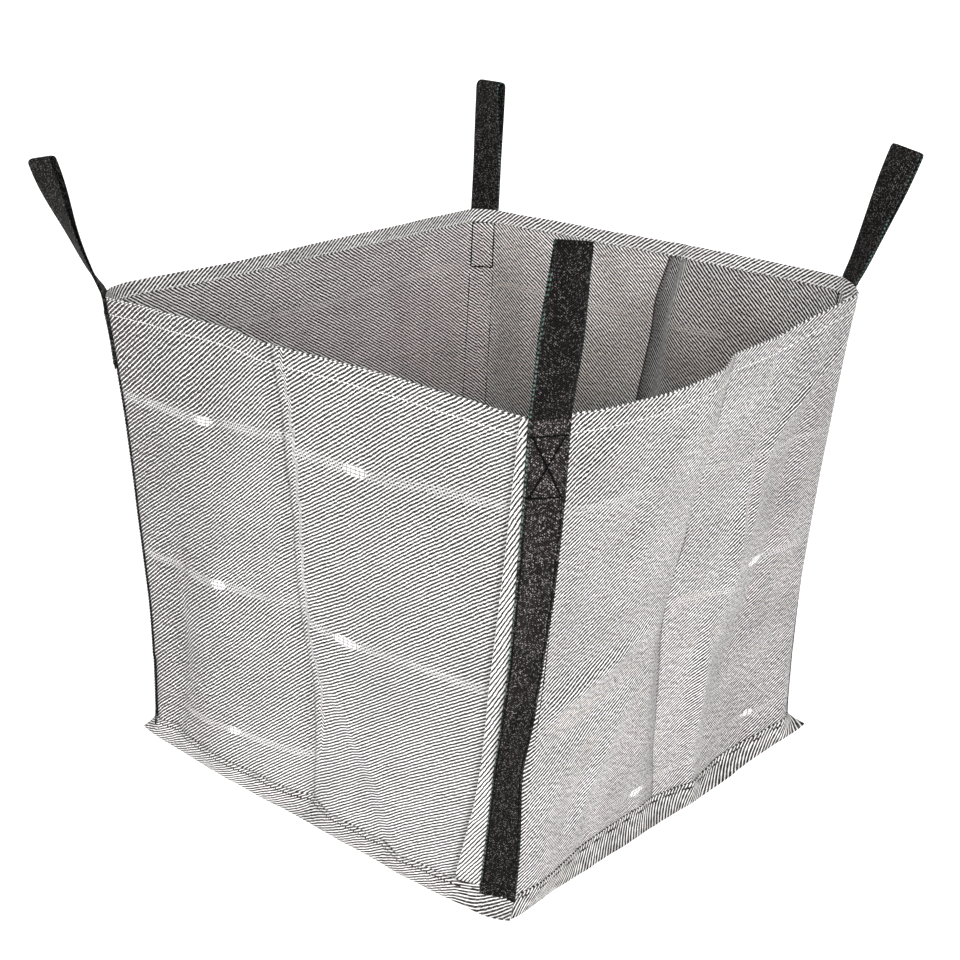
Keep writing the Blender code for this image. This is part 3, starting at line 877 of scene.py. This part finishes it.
def uv_grid(v, cols, side=None):
    """Cloth coordinates of a grid: metres along the rim and metres across the threads."""
    cols, v = np.asarray(cols, float), np.asarray(v, float)
    u = np.interp(cols, np.arange(COLUMNS + 1), rim_u)
    along, across = np.meshgrid(u, v)
    if side is not None:
        across = across - drift(side, cols, v)
    if side == "front":
        # the bare strip: true distances past its edge, turned, and clear of the bands
        edge = HALF_STRAP_COLUMNS + WALL_COLUMNS
        grid = at_height(surface, v)
        past = np.linalg.norm(take(grid, cols) - take(grid, [edge]), axis=-1)
        cos, sin = math.cos(math.radians(STRIP_TURN)), math.sin(math.radians(STRIP_TURN))
        beyond = (cols > edge + STRIP_PAST / 2)[None, :]
        along = np.where(beyond, rim_u[edge] + past * cos - across * sin, along)
        across = np.where(beyond, past * sin + across * cos + STRIP_CLEAR, across)
    return np.stack([along, across], -1)


def make_wall(side):
    """A wall's cloth with the bare strip after it, under both straps' halves."""
    cols = ring_columns(side)
    if side == "front":
        cols = np.sort(np.append(cols, HALF_STRAP_COLUMNS + WALL_COLUMNS + STRIP_PAST))
    obj = make_sheet(side + "_panel_cloth", take(surface, cols), take(normals, cols), CLOTH,
                     uv_grid(row_v, cols, side), cloth[side])
    return on_bag(obj, "woven_fabric", side + "_panel", ends(side)[1] + "_corner_strip")


def make_hem(side):
    """The folded rim: over the top edge, then down inside the wall."""
    cols = ring_columns(side)
    top, outward = level_frame(cloth_height, cols)
    radius, depth = HEM_GAP / 2, HEM[side]
    rows, faces, heights = [], [], []
    for angle in np.pi * np.arange(7) / 6:
        cos, sin = math.cos(angle), math.sin(angle)
        rows.append(top - outward * radius * (1 - cos) + UP * radius * sin)
        faces.append(outward * cos + UP * sin)
        heights.append(cloth_height + radius * angle)
    drops = np.linspace(0, depth, 9)[1:]
    inside, facing = on_ring(cloth_height - drops, cols)
    # the free edge stands off a little, in shallow ripples
    ripple = np.interp(cols % 23, [0, 11, 23], [0, 1, 0]) * 0.0006
    for k, drop in enumerate(drops):
        loose = HEM_GAP + (drop / depth) ** 2 * (0.0006 + ripple[:, None])
        rows.append(inside[k] - facing[k] * loose)
        faces.append(-facing[k])
        heights.append(cloth_height + radius * math.pi + drop)
    obj = make_sheet(side + "_rim_hem_cloth", np.stack(rows), np.stack(faces), CLOTH * 0.95,
                     uv_grid(heights, cols), hem_cloth)
    return on_bag(obj, "woven_fabric", side + "_rim_hem")


def path_on_wall(side, v, lift):
    """Evenly spaced stitch places along a side at cloth height v, lifted off the surface."""
    first, last = HALF_STRAP_COLUMNS + 0.5, PER_SIDE - HALF_STRAP_COLUMNS - 0.5
    cols = np.linspace(first, last, 600) + SIDES.index(side) * PER_SIDE
    points, facing = on_ring([v], cols)
    line = points[0] + facing[0] * lift
    length = run_length(line)
    places = np.arange(HEM_PITCH / 2, length[-1], HEM_PITCH)
    index = np.interp(places, length, np.arange(600))
    low = np.clip(index.astype(int), 0, 598)
    share = (index - low)[:, None]
    point = line[low] * (1 - share) + line[low + 1] * share
    normal = take(at_height(normals, [v]), np.interp(places, length, cols))[0]
    return point, unit(line[low + 1] - line[low]), normal


def make_hem_stitches(side):
    """White thread through wall and hem, on both faces."""
    v = cloth_height - HEM[side] + STITCH_MARGIN
    a, along, normal = path_on_wall(side, v, CLOTH / 2 + 0.0001)
    b, along_b, normal_b = path_on_wall(side, v, -(HEM_GAP + CLOTH + 0.0006))
    obj = make_stitches(side + "_hem_thread", np.concatenate([a, b]),
                        np.concatenate([along, along_b]), np.concatenate([normal, -normal_b]),
                        HEM_STITCH, white_thread)
    return on_bag(obj, "white_thread", side + "_hem_stitching")


walls = {side: make_wall(side) for side in SIDES}
hems = {side: make_hem(side) for side in SIDES}
hem_threads = {side: make_hem_stitches(side) for side in SIDES}


# ---------------------------------------------------------------- base and seam allowance
def tip_column(corner):
    """The ring column at which the seam allowance turns its corner."""
    return CORNERS.index(corner) * PER_SIDE + (TIP_SHARE[corner] - 0.5) * 2 * HALF_STRAP_COLUMNS


BASE_RINGS = 64
BASE_Z = 0.0026           # the base cloth's height over the floor


def make_base():
    """The base cloth, sewn in at the seam and lying on the floor, with slack ripples."""
    ring = surface[0, ::2]
    centre = np.array([ring[:, 0].mean(), ring[:, 1].mean(), 0.0])
    share = (np.arange(BASE_RINGS) / BASE_RINGS)[:, None]
    grid = centre + (ring - centre) * (1 - share)[..., None]
    grid[..., 2] = BASE_Z + (SEAM_Z - BASE_Z) * np.exp(-(share * 0.38) / 0.012)
    slack = noise_field(grid, 9.0, 21) * 0.5 + 0.5
    crease = noise_field(grid, 20.0, 23)
    grid[..., 2] += (slack**2 * 0.012 + np.clip(crease, 0, 1) ** 2 * 0.006) \
        * np.clip((1 - share) * 8, 0, 1) * np.clip(share * 12, 0, 1)
    top = np.concatenate([grid.reshape(-1, 3), [[centre[0], centre[1], grid[-1, :, 2].mean()]]])
    low = top - UP * CLOTH
    n = len(top)
    count = grid.shape[1]
    faces = []
    for r in range(BASE_RINGS - 1):
        for c in range(count):
            d = (c + 1) % count
            quad = [r * count + c, r * count + d, (r + 1) * count + d, (r + 1) * count + c]
            faces += [quad, [k + n for k in quad[::-1]]]
    last = (BASE_RINGS - 1) * count
    for c in range(count):
        d = (c + 1) % count
        faces += [[last + c, last + d, n - 1], [2 * n - 1, last + d + n, last + c + n],
                  [c + n, d + n, d, c]]
    vertices = np.concatenate([top, low])
    weave = np.zeros_like(vertices)
    weave[:, :2] = vertices[:, :2]
    weave[:n, 2], weave[n:, 2] = 1.0, -1.0
    obj = mesh_from("base_panel_cloth", vertices, faces, base_cloth, weave)
    return on_bag(obj, "woven_fabric", "base_panel")


FLANGE_FOOT = 0.006       # cloth height at which the seam allowance leaves the wall
FLANGE_DEPTH = 0.033
FLANGE_THICK = 0.0024     # two plies


def make_flange(side):
    """Raw seam allowance: walls' and base's edges sewn together, curling out to the floor."""
    number = SIDES.index(side)
    start, end = ends(side)
    first = tip_column(start)
    last = tip_column(end) + (COLUMNS if number == 3 else 0)
    cols = np.linspace(first, last, 150)
    q = (cols - first) / (last - first)
    base, normal = level_frame(FLANGE_FOOT, cols)
    a, b = np.array(EARS[start]), np.array(EARS[end])
    direction = unit(b - a)
    outward = np.array([direction[1], -direction[0]])
    outer = a[None, :] * (1 - q)[:, None] + b[None, :] * q[:, None]
    level = np.concatenate([outer, np.zeros((len(q), 1))], -1)
    belly = 0.0085 * np.sin(np.pi * q) ** 0.7 + curve(q, BELLY.get(side, ((0, 0), (1, 0))))
    belly += noise_field(level, 12.0, 31 + number) * 0.0030 * np.sin(np.pi * q) ** 0.5
    belly += noise_field(level, 45.0, 41 + number) * 0.0010
    outer = outer + outward[None, :] * belly[:, None]
    end_pull = np.exp(-np.minimum(q, 1 - q) / 0.02)
    rows = []
    for k in np.linspace(1, 0, 12):
        reach = k**1.7
        point = base + normal * (CLOTH / 2 + 0.0016) * (1 - k)
        plan = point[:, :2] * (1 - reach) + outer * reach
        z = point[:, 2] * (1 - k) ** 1.15 + 0.0017
        z = z * (1 - 0.25 * end_pull * (1 - k)) + 0.0045 * end_pull * k
        rows.append(np.concatenate([plan, z[:, None]], -1))
    middle = np.stack(rows)
    face = unit(np.cross(np.gradient(middle, axis=1), np.gradient(middle, axis=0)))
    uv = np.stack(np.meshgrid(along_rim(cols), np.linspace(0.0, FLANGE_DEPTH, len(rows))), -1)
    obj = make_sheet(side + "_base_flange_cloth", middle, face, FLANGE_THICK, uv,
                     seam_cloth[side])
    return on_bag(obj, "seam_allowance", side + "_base_flange")


base = make_base()
for side in SIDES:
    make_flange(side)


# ---------------------------------------------------------------- straps, sewn ends, loops
def strap_frame(corner, v_values, count, lift):
    """Middle surface of webbing laid on a corner: rows up the strap, columns across it."""
    shares = np.linspace(-1, 1, count)
    cols = CORNERS.index(corner) * PER_SIDE + shares * HALF_STRAP_COLUMNS
    points, normal = on_ring(v_values, cols)
    middle = points[:, count // 2]
    facing = unit(normal.mean(axis=1))
    across = points[:, -1] - points[:, 0]
    across = unit(across - facing * (across * facing).sum(-1, keepdims=True))
    # webbing is stiffer than the cloth: it keeps its width and only part of the cloth's bend
    flat = middle[:, None, :] + across[:, None, :] * (shares * WEB_HALF)[None, :, None]
    bend = np.clip(((points - middle[:, None, :]) * facing[:, None, :]).sum(-1), -0.012, 0.0)
    facing = facing[:, None, :]
    body = flat + facing * (bend * 0.55)[..., None] + facing * lift
    return body, np.broadcast_to(facing, body.shape).copy(), across, shares


def webbing_sheet(name, middle, normal, shares, v_values, material):
    """Webbing with rounded edges."""
    edge = np.clip((np.abs(shares) - 0.86) / 0.14, 0, 1)
    thick = WEB * np.sqrt(np.clip(1 - edge**2 * 0.82, 0, 1))
    uv = np.stack(np.meshgrid(shares * WEB_HALF, v_values), -1)
    return make_sheet(name, middle, normal, thick[None, :, None], uv, material)


STRAP_LIFT = CLOTH / 2 + WEB / 2 + 0.0003
SEWN_LIFT = STRAP_LIFT + WEB + 0.0003
SEWN_DROP = 0.112         # length of the loop's sewn end
BOX_TOP, BOX_HEIGHT, BOX_HALF = 0.022, 0.082, 0.0205


def pinch(corner, v, shares):
    """Where the near strap folds over itself: its width's share left, and its lift, by row."""
    t = np.asarray(v, float)[:, None] / cloth_height
    if corner != "front_right":
        return np.ones_like(t), np.zeros_like(t * shares[None, :])
    window = curve(t, [(0.18, 0), (0.30, 1), (0.44, 1), (0.62, 0)])
    line = curve(t, [(0.24, -1.0), (0.62, 1.0)])
    lift = 0.0055 * window * (1 - np.exp(-(((shares[None, :] - line) / 0.13) ** 2)))
    width = curve(t, [(0.02, 1.0), (0.10, 0.96), (0.18, 0.88), (0.30, 0.76), (0.40, 0.82),
                      (0.53, 0.86), (0.66, 0.95), (0.80, 1.0)])
    return width, lift


def make_strap(corner):
    """A strap from the base seam up to the rim."""
    v = np.linspace(0.001, cloth_height - 0.001, 128)
    middle, normal, _, shares = strap_frame(corner, v, 25, STRAP_LIFT)
    width, lift = pinch(corner, v, shares)
    middle = middle + normal * lift[..., None]
    left = middle[:, :1]
    middle = left + (middle - left) * width[..., None]
    # the foot hangs past the seam, its cut end sloping down to the right
    drop = np.exp(-v / 0.016)[:, None] * (0.005 + 0.0045 * (shares[None, :] + 1) / 2)
    middle[..., 2] -= drop
    middle += normal * (drop * 0.30)[..., None]
    obj = webbing_sheet(corner + "_strap_webbing", middle, normal, shares, v, web)
    return on_bag(obj, "webbing", corner + "_corner_strap")


def make_sewn_end(corner):
    """The loop's end plies sewn over the strap's top."""
    v = np.linspace(cloth_height - SEWN_DROP, cloth_height, 22)
    middle, normal, _, shares = strap_frame(corner, v, 13, SEWN_LIFT)
    obj = webbing_sheet(corner + "_sewn_webbing", middle, normal, shares, v, sewn_web)
    return on_bag(obj, "webbing", corner + "_loop_sewn_end")


def on_strap(corner, across_m, v_values, lift):
    """Points, along and normal vectors on a strap at across_m from its middle."""
    middle, normal, across, _ = strap_frame(corner, v_values, 13, lift)
    centre, facing = middle[:, 6], normal[:, 6]
    edge = middle[:, 0] if across_m < 0 else middle[:, -1]
    bend = ((edge - centre) * facing).sum(-1, keepdims=True)
    point = centre + across * across_m + facing * bend * (abs(across_m) / WEB_HALF) ** 2
    if lift > 0:
        width, raised = pinch(corner, v_values, np.array([across_m / WEB_HALF]))
        left = centre - across * WEB_HALF
        point = left + (point - left) * width + facing * raised
    return point, unit(np.gradient(point, axis=0)), facing


def make_edge_stitches(corner):
    """Black thread down both edges of a strap; it shows inside the bag as a fine dark line."""
    v = np.arange(0.006, cloth_height - SEWN_DROP - 0.004, EDGE_PITCH)
    for name, sign in (("left", -1), ("right", 1)):
        across = sign * (WEB_HALF - 0.0042)
        point, along, normal = on_strap(corner, across, v, STRAP_LIFT + WEB / 2)
        inside, along_i, normal_i = on_strap(corner, across, v, -(CLOTH / 2 + 0.0001))
        obj = make_stitches(f"{corner}_strap_{name}_thread", np.concatenate([point, inside]),
                            np.concatenate([along, along_i]), np.concatenate([normal, -normal_i]),
                            EDGE_STITCH, black_thread)
        on_bag(obj, "black_thread", f"{corner}_strap_{name}_stitching")


def make_box_stitches(corner):
    """A box and its diagonals outside, through loop, strap and wall, and the box inside."""
    top = cloth_height - BOX_TOP
    low = top - BOX_HEIGHT
    box = [(-BOX_HALF, low), (BOX_HALF, low), (BOX_HALF, top), (-BOX_HALF, top)]
    rim = [(box[k], box[(k + 1) % 4]) for k in range(4)]
    crossed = [rim[0], rim[2], (box[0], box[2]), (box[1], box[3])]
    wide = (WEB_HALF - 0.0015) / BOX_HALF   # outside, the level rows run out to the edges
    points, alongs, outs = [], [], []
    for lines, reach, lift, out in ((crossed, wide, STRAP_LIFT + WEB * 1.5 + 0.0003, 1.0),
                                    (rim, 1.0, -(CLOTH / 2 + 0.0002), -1.0)):
        for (x0, v0), (x1, v1) in lines:
            if v0 == v1:
                x0, x1 = x0 * reach, x1 * reach
            count = max(int(math.hypot(x1 - x0, v1 - v0) / BOX_PITCH), 2)
            share = (np.arange(count) + 0.5) / count
            spots = [on_strap(corner, x, np.array([v, v + 1e-4]), lift)
                     for x, v in zip(x0 + (x1 - x0) * share, v0 + (v1 - v0) * share)]
            line = np.array([spot[0][0] for spot in spots])
            points.append(line)
            alongs.append(unit(np.gradient(line, axis=0)))
            outs.append(np.array([spot[2][0] for spot in spots]) * out)
    obj = make_stitches(corner + "_box_thread", np.concatenate(points), np.concatenate(alongs),
                        np.concatenate(outs), BOX_STITCH, black_thread)
    return on_bag(obj, "black_thread", corner + "_loop_box_stitching")


# Each loop, angles in degrees: its lean outward, how much more it leans at the root and over what
# length that fades, its top's twist, the share of the twist taken at the root, its lean
# sideways, its length, the gap between its plies, and its top's width as a share.
LOOPS = {
    "front_left": (17.0, 13.0, 0.070, 44.0, 0.10, 0.0, 0.218, 0.0048, 1.00),
    "front_right": (19.0, 0.0, 0.012, -10.0, 0.0, 1.8, 0.242, 0.0060, 0.80),
    "back_right": (18.5, 12.0, 0.012, 36.0, 0.05, 0.0, 0.220, 0.0050, 1.00),
    "back_left": (-3.0, 0.0, 0.012, -28.0, 0.0, 1.8, 0.238, 0.0090, 0.98),
}


LEG_ROWS, ARC_ROWS = 30, 14


def loop_route(length, spread):
    """Side view of both plies, up one leg, over the turn and down the other: (across, up)."""
    swell, gap = spread + WEB / 2, WEB / 2 + 0.00015
    turn = length - swell - WEB / 2
    legs = []
    for share in np.arange(LEG_ROWS) / LEG_ROWS:
        ease = math.sin(max(share - 0.12, 0) / 0.88 * math.pi / 2) ** 2
        legs.append((gap + (swell - gap) * ease, turn * share))
    arc = []
    for k in range(ARC_ROWS + 1):
        angle = math.pi * k / ARC_ROWS
        arc.append((-swell * math.cos(angle), turn + swell * math.sin(angle)))
    return np.array([(-a, b) for a, b in legs] + arc + legs[::-1]), gap


def make_loop(corner):
    """One lifting loop: two plies of webbing that meet in a turn at the top, twisted a little."""
    lean, extra, fade, twist, first, aside, length, spread, narrow = LOOPS[corner]
    v = np.array([cloth_height - 0.002, cloth_height])
    middle, normal, _, shares = strap_frame(corner, v, 13, SEWN_LIFT)
    root, out = middle[-1, 6], normal[-1, 6].copy()
    out[2] = 0
    out = unit(out)
    side = np.cross(UP, out)
    route, gap = loop_route(length, spread)
    tangent = unit(np.gradient(route, axis=0))
    tilt = Matrix.Rotation(math.radians(aside), 3, Vector(out))
    # the spine turns from the wall's slope to its lean over the first few millimetres
    heights = np.linspace(0.0, length, 240)
    angles = np.radians((lean + extra * np.exp(-heights / fade))
                        * np.minimum(1, 0.25 + heights / 0.01))
    steps = np.stack([np.sin(angles), np.cos(angles)], -1) * (heights[1] - heights[0])
    spine = np.concatenate([[[0.0, 0.0]], np.cumsum(steps, axis=0)[:-1]])
    rows, faces = [], []
    for (offset, rise), local in zip(route, tangent):
        share = min(max(rise / length, 0.0), 1.0)
        leaning = float(np.interp(rise, heights, angles))
        reach = [float(np.interp(rise, heights, spine[:, k])) for k in (0, 1)]
        forward = np.array(tilt @ Vector(out * math.sin(leaning) + UP * math.cos(leaning)))
        face = out * math.cos(leaning) - UP * math.sin(leaning)
        turned = curve(np.array([share]), [(0, 0), (0.05, first), (0.5, 0.52), (0.9, 1), (1, 1)])
        spin = Matrix.Rotation(math.radians(twist) * float(turned[0]), 3, Vector(forward))
        face, across = np.array(spin @ Vector(face)), np.array(spin @ Vector(side))
        # both plies start from the sewn end's face, and the top may stand narrower
        shift = -gap * (1 - min(share / 0.2, 1.0))
        taper = min(max((share - 0.40) / 0.60, 0.0), 1.0)
        width = 1 - (1 - narrow) * taper * taper * (3 - 2 * taper)
        centre = root + np.array(tilt @ Vector(out * reach[0] + UP * reach[1]))
        centre = centre + face * (offset + shift)
        rows.append(centre[None, :] + across[None, :] * (shares * WEB_HALF * width)[:, None])
        faces.append(np.broadcast_to(face * (-local[1]) + forward * local[0], rows[-1].shape))
    obj = webbing_sheet(corner + "_lift_loop_webbing", np.stack(rows), -np.stack(faces), shares,
                        run_length(route), loop_web)
    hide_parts(corner + "_lift_loop")
    corner + "_loop"
    tuple(root + UP * 0.0005)
    tuple(root + UP * 0.016)
    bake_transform(obj)


for make in (make_strap, make_sewn_end, make_edge_stitches, make_box_stitches, make_loop):
    for corner in CORNERS:
        make(corner)


# ---------------------------------------------------------------- floor, lights, camera
def make_floor():
    size = 40.0
    mesh = bpy.data.meshes.new("floor")
    mesh.from_pydata([(-size, -size, 0), (size, -size, 0), (size, size, 0), (-size, size, 0)], [],
                     [(0, 1, 2, 3)])
    n = Nodes("floor_paper")
    n.surface(Base_Color=(0.97, 0.97, 0.97, 1), Roughness=0.9, Specular_IOR_Level=0.1,
              Emission_Color=(1.0, 1.0, 1.0, 1), Emission_Strength=0.62)
    link(mesh, "floor", n.material)


def add_sun(name, direction, strength, softness):
    """A distant soft light shining from direction; softness is its width in degrees."""
    data = bpy.data.lights.new(name, "SUN")
    data.energy = strength
    data.angle = math.radians(softness)
    obj = bpy.data.objects.new(name, data)
    bpy.context.scene.collection.objects.link(obj)
    obj.rotation_euler = Vector(direction).to_track_quat("Z", "Y").to_euler()


def make_camera():
    """A 59 mm lens seen from above the near corner."""
    data = bpy.data.cameras.new("camera")
    data.lens, data.sensor_width = 58.8, 36.0
    data.clip_start, data.clip_end = 0.05, 200.0
    obj = bpy.data.objects.new("camera", data)
    bpy.context.scene.collection.objects.link(obj)
    yaw, pitch, roll = (math.radians(x) for x in (-40.87, -21.06, 1.59))
    forward = Vector((math.sin(yaw) * math.cos(pitch), math.cos(yaw) * math.cos(pitch),
                      math.sin(pitch)))
    right = forward.cross(Vector((0, 0, 1))).normalized()
    up = right.cross(forward)
    x = right * math.cos(roll) + up * math.sin(roll)
    y = up * math.cos(roll) - right * math.sin(roll)
    turn = Matrix((x, y, -forward)).transposed().to_4x4()
    obj.matrix_world = Matrix.Translation((1.52, -1.78, 1.351)) @ turn
    bpy.context.scene.camera = obj


def make_world():
    """White low down and dimmer overhead, so the bag's inside stays darker than its walls."""
    world = bpy.data.worlds.new("studio")
    bpy.context.scene.world = world
    world.use_nodes = True
    tree = world.node_tree
    back = tree.nodes["Background"]
    back.inputs["Color"].default_value = (1.0, 1.0, 1.0, 1.0)
    place = tree.nodes.new("ShaderNodeTexCoord")
    split = tree.nodes.new("ShaderNodeSeparateXYZ")
    fade = tree.nodes.new("ShaderNodeMapRange")
    tree.links.new(place.outputs["Generated"], split.inputs[0])
    tree.links.new(split.outputs[2], fade.inputs["Value"])
    for socket, value in (("From Min", 0.10), ("From Max", 0.45),
                          ("To Min", 1.0), ("To Max", 0.06)):
        fade.inputs[socket].default_value = value
    tree.links.new(fade.outputs[0], back.inputs["Strength"])


make_floor()
make_world()
add_sun("left_light", (-0.75, -1.4, 0.66), 1.75, 38.0)
add_sun("right_light", (1.5, -0.75, 0.58), 2.85, 34.0)
add_sun("top_light", (0.1, -0.2, 1.0), 0.3, 40.0)
add_sun("back_light", (-1.0, 1.1, 0.8), 0.55, 60.0)
make_camera()
bpy.context.scene.view_settings.view_transform = "Standard"
